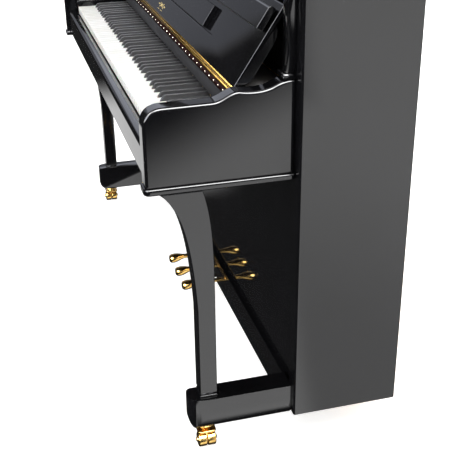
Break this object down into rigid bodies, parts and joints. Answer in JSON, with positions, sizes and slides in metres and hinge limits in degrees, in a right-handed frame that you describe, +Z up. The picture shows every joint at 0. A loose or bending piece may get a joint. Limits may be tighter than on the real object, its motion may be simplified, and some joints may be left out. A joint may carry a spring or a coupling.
{
  "type": "upright piano",
  "caption": "Upright piano in black gloss with curved legs, cheeked keyboard, open fallboard with folding lip and music desk, brass pedals and twin-wheel casters.",
  "frame": {"origin": "middle of the footprint, on the floor", "axes": "+X to the treble end of the keyboard, -Y to the player, +Z up"},
  "size_m": [1.52, 0.543, 1.205],
  "materials": {
    "black_lacquer": "high-gloss black polyester lacquer over wood",
    "ivory": "white acrylic key covering, glossy",
    "ebony": "satin black",
    "brass": "polished and lacquered",
    "board": "black stained, matt",
    "beech": "planed, oiled",
    "spruce": "satin varnish",
    "iron": "bronze painted",
    "felt": "pressed wool felt"
  },
  "bodies": {
    "case": {"side_panel_treble": "black_lacquer", "side_panel_bass": "black_lacquer", "arm_treble": "black_lacquer", "arm_bass": "black_lacquer", "pilaster_treble": "black_lacquer", "pilaster_bass": "black_lacquer", "leg_treble": "black_lacquer", "leg_bass": "black_lacquer", "toe_block_treble": "black_lacquer", "toe_block_bass": "black_lacquer", "key_block_treble": "black_lacquer", "key_block_bass": "black_lacquer", "keybed": "black_lacquer", "key_slip": "black_lacquer", "fall_rail": "black_lacquer", "bottom_rail": "black_lacquer", "pedal_plate": "brass", "bottom_board": "black_lacquer", "base_board": "board", "upper_panel": "black_lacquer", "top_lid_rear": "black_lacquer", "key_frame": "beech", "action_rail": "beech", "iron_plate": "iron", "soundboard": "spruce", "back_frame": "beech"},
    "lid": {"top_lid_front": "black_lacquer"},
    "fallboard": {"fallboard": "black_lacquer"},
    "lip": {"fallboard_lip": "black_lacquer"},
    "desk": {"music_desk": "black_lacquer"},
    "key_c4": {"key_c4": "ivory"},
    "key_c4_sharp": {"key_c4_sharp": "ebony"},
    "key_d4": {"key_d4": "ivory"},
    "key_d4_sharp": {"key_d4_sharp": "ebony"},
    "key_e4": {"key_e4": "ivory"},
    "key_f4": {"key_f4": "ivory"},
    "key_f4_sharp": {"key_f4_sharp": "ebony"},
    "key_g4": {"key_g4": "ivory"},
    "key_g4_sharp": {"key_g4_sharp": "ebony"},
    "key_a4": {"key_a4": "ivory"},
    "key_a4_sharp": {"key_a4_sharp": "ebony"},
    "key_b4": {"key_b4": "ivory"},
    "naturals_bass": {"naturals_bass": "ivory"},
    "sharps_bass": {"sharps_bass": "ebony"},
    "naturals_treble": {"naturals_treble": "ivory"},
    "sharps_treble": {"sharps_treble": "ebony"},
    "pedal_soft": {"pedal_soft": "brass"},
    "pedal_practice": {"pedal_practice": "brass"},
    "pedal_sustain": {"pedal_sustain": "brass"},
    "hammers": {"hammers": "felt"},
    "dampers": {"dampers": "felt"},
    "practice_felt": {"practice_felt": "felt"},
    "caster_front_treble": {"caster_fork_front_treble": "brass"},
    "wheels_front_treble": {"caster_wheels_front_treble": "brass"},
    "caster_front_bass": {"caster_fork_front_bass": "brass"},
    "wheels_front_bass": {"caster_wheels_front_bass": "brass"},
    "caster_rear_treble": {"caster_fork_rear_treble": "brass"},
    "wheels_rear_treble": {"caster_wheels_rear_treble": "brass"},
    "caster_rear_bass": {"caster_fork_rear_bass": "brass"},
    "wheels_rear_bass": {"caster_wheels_rear_bass": "brass"}
  },
  "joints": [
    {"name": "lid_fold", "type": "hinge", "parent": "case", "child": "lid", "pos_m": [0, 0.137, 1.206], "axis": [-1, 0, 0], "range_deg": [0, 178]},
    {"name": "fallboard_hinge", "type": "hinge", "parent": "case", "child": "fallboard", "pos_m": [0, -0.0829, 0.797], "axis": [1, 0, 0], "range_deg": [0, 129.7]},
    {"name": "lip_hinge", "type": "hinge", "parent": "fallboard", "child": "lip", "pos_m": [0, 0.00946, 0.94275], "axis": [-1, 0, 0], "range_deg": [0, 90]},
    {"name": "desk_hinge", "type": "hinge", "parent": "fallboard", "child": "desk", "pos_m": [0, -0.051, 0.84304], "axis": [1, 0, 0], "range_deg": [0, 90]},
    {"name": "key_c4_press", "type": "hinge", "parent": "case", "child": "key_c4", "pos_m": [0, -0.0235, 0.7028], "axis": [1, 0, 0], "range_deg": [0, 2.7], "stiffness_Nm_per_rad": 0.3, "springref_deg": -20.05},
    {"name": "key_c4_sharp_press", "type": "hinge", "parent": "case", "child": "key_c4_sharp", "pos_m": [0, -0.0235, 0.7028], "axis": [1, 0, 0], "range_deg": [0, 2.7], "stiffness_Nm_per_rad": 0.3, "springref_deg": -20.05},
    {"name": "key_d4_press", "type": "hinge", "parent": "case", "child": "key_d4", "pos_m": [0, -0.0235, 0.7028], "axis": [1, 0, 0], "range_deg": [0, 2.7], "stiffness_Nm_per_rad": 0.3, "springref_deg": -20.05},
    {"name": "key_d4_sharp_press", "type": "hinge", "parent": "case", "child": "key_d4_sharp", "pos_m": [0, -0.0235, 0.7028], "axis": [1, 0, 0], "range_deg": [0, 2.7], "stiffness_Nm_per_rad": 0.3, "springref_deg": -20.05},
    {"name": "key_e4_press", "type": "hinge", "parent": "case", "child": "key_e4", "pos_m": [0, -0.0235, 0.7028], "axis": [1, 0, 0], "range_deg": [0, 2.7], "stiffness_Nm_per_rad": 0.3, "springref_deg": -20.05},
    {"name": "key_f4_press", "type": "hinge", "parent": "case", "child": "key_f4", "pos_m": [0, -0.0235, 0.7028], "axis": [1, 0, 0], "range_deg": [0, 2.7], "stiffness_Nm_per_rad": 0.3, "springref_deg": -20.05},
    {"name": "key_f4_sharp_press", "type": "hinge", "parent": "case", "child": "key_f4_sharp", "pos_m": [0, -0.0235, 0.7028], "axis": [1, 0, 0], "range_deg": [0, 2.7], "stiffness_Nm_per_rad": 0.3, "springref_deg": -20.05},
    {"name": "key_g4_press", "type": "hinge", "parent": "case", "child": "key_g4", "pos_m": [0, -0.0235, 0.7028], "axis": [1, 0, 0], "range_deg": [0, 2.7], "stiffness_Nm_per_rad": 0.3, "springref_deg": -20.05},
    {"name": "key_g4_sharp_press", "type": "hinge", "parent": "case", "child": "key_g4_sharp", "pos_m": [0, -0.0235, 0.7028], "axis": [1, 0, 0], "range_deg": [0, 2.7], "stiffness_Nm_per_rad": 0.3, "springref_deg": -20.05},
    {"name": "key_a4_press", "type": "hinge", "parent": "case", "child": "key_a4", "pos_m": [0, -0.0235, 0.7028], "axis": [1, 0, 0], "range_deg": [0, 2.7], "stiffness_Nm_per_rad": 0.3, "springref_deg": -20.05},
    {"name": "key_a4_sharp_press", "type": "hinge", "parent": "case", "child": "key_a4_sharp", "pos_m": [0, -0.0235, 0.7028], "axis": [1, 0, 0], "range_deg": [0, 2.7], "stiffness_Nm_per_rad": 0.3, "springref_deg": -20.05},
    {"name": "key_b4_press", "type": "hinge", "parent": "case", "child": "key_b4", "pos_m": [0, -0.0235, 0.7028], "axis": [1, 0, 0], "range_deg": [0, 2.7], "stiffness_Nm_per_rad": 0.3, "springref_deg": -20.05},
    {"name": "naturals_bass_press", "type": "hinge", "parent": "case", "child": "naturals_bass", "pos_m": [0, -0.0235, 0.7028], "axis": [1, 0, 0], "range_deg": [0, 2.7], "stiffness_Nm_per_rad": 6, "springref_deg": -20.05},
    {"name": "sharps_bass_press", "type": "hinge", "parent": "case", "child": "sharps_bass", "pos_m": [0, -0.0235, 0.7028], "axis": [1, 0, 0], "range_deg": [0, 2.7], "stiffness_Nm_per_rad": 6, "springref_deg": -20.05},
    {"name": "naturals_treble_press", "type": "hinge", "parent": "case", "child": "naturals_treble", "pos_m": [0, -0.0235, 0.7028], "axis": [1, 0, 0], "range_deg": [0, 2.7], "stiffness_Nm_per_rad": 6, "springref_deg": -20.05},
    {"name": "sharps_treble_press", "type": "hinge", "parent": "case", "child": "sharps_treble", "pos_m": [0, -0.0235, 0.7028], "axis": [1, 0, 0], "range_deg": [0, 2.7], "stiffness_Nm_per_rad": 6, "springref_deg": -20.05},
    {"name": "pedal_soft_press", "type": "hinge", "parent": "case", "child": "pedal_soft", "pos_m": [-0.087, 0.0965, 0.055], "axis": [1, 0, 0], "range_deg": [0, 7], "stiffness_Nm_per_rad": 8, "springref_deg": -17.19},
    {"name": "pedal_practice_press", "type": "hinge", "parent": "case", "child": "pedal_practice", "pos_m": [0, 0.0965, 0.055], "axis": [1, 0, 0], "range_deg": [0, 7], "stiffness_Nm_per_rad": 8, "springref_deg": -17.19},
    {"name": "pedal_sustain_press", "type": "hinge", "parent": "case", "child": "pedal_sustain", "pos_m": [0.087, 0.0965, 0.055], "axis": [1, 0, 0], "range_deg": [0, 7], "stiffness_Nm_per_rad": 8, "springref_deg": -17.19},
    {"name": "hammer_rail_swing", "type": "hinge", "parent": "case", "child": "hammers", "pos_m": [0, 0.0845, 0.812], "axis": [-1, 0, 0], "range_deg": [0, 10.1]},
    {"name": "damper_lift", "type": "hinge", "parent": "case", "child": "dampers", "pos_m": [0, 0.119, 0.7935], "axis": [1, 0, 0], "range_deg": [0, 5.1]},
    {"name": "practice_felt_drop", "type": "slide", "parent": "case", "child": "practice_felt", "axis": [0, 0, -1], "range_m": [0, 0.0445]},
    {"name": "swivel_front_treble", "type": "hinge", "parent": "case", "child": "caster_front_treble", "pos_m": [0.706, -0.1615, 0.05], "axis": [0, 0, 1], "continuous": true},
    {"name": "roll_front_treble", "type": "hinge", "parent": "caster_front_treble", "child": "wheels_front_treble", "pos_m": [0.718, -0.1615, 0.017], "axis": [0, 1, 0], "continuous": true},
    {"name": "swivel_front_bass", "type": "hinge", "parent": "case", "child": "caster_front_bass", "pos_m": [-0.706, -0.1615, 0.05], "axis": [0, 0, 1], "continuous": true},
    {"name": "roll_front_bass", "type": "hinge", "parent": "caster_front_bass", "child": "wheels_front_bass", "pos_m": [-0.718, -0.1615, 0.017], "axis": [0, 1, 0], "continuous": true},
    {"name": "swivel_rear_treble", "type": "hinge", "parent": "case", "child": "caster_rear_treble", "pos_m": [0.64, 0.2285, 0.05], "axis": [0, 0, 1], "continuous": true},
    {"name": "roll_rear_treble", "type": "hinge", "parent": "caster_rear_treble", "child": "wheels_rear_treble", "pos_m": [0.652, 0.2285, 0.017], "axis": [0, 1, 0], "continuous": true},
    {"name": "swivel_rear_bass", "type": "hinge", "parent": "case", "child": "caster_rear_bass", "pos_m": [-0.64, 0.2285, 0.05], "axis": [0, 0, 1], "continuous": true},
    {"name": "roll_rear_bass", "type": "hinge", "parent": "caster_rear_bass", "child": "wheels_rear_bass", "pos_m": [-0.652, 0.2285, 0.017], "axis": [0, 1, 0], "continuous": true}
  ],
  "couplings": [
    {"joint": "hammer_rail_swing", "follows": "pedal_soft_press", "ratio": 1.42},
    {"joint": "damper_lift", "follows": "pedal_sustain_press", "ratio": 0.7},
    {"joint": "practice_felt_drop", "follows": "pedal_practice_press", "m_per_rad": 0.36}
  ]
}
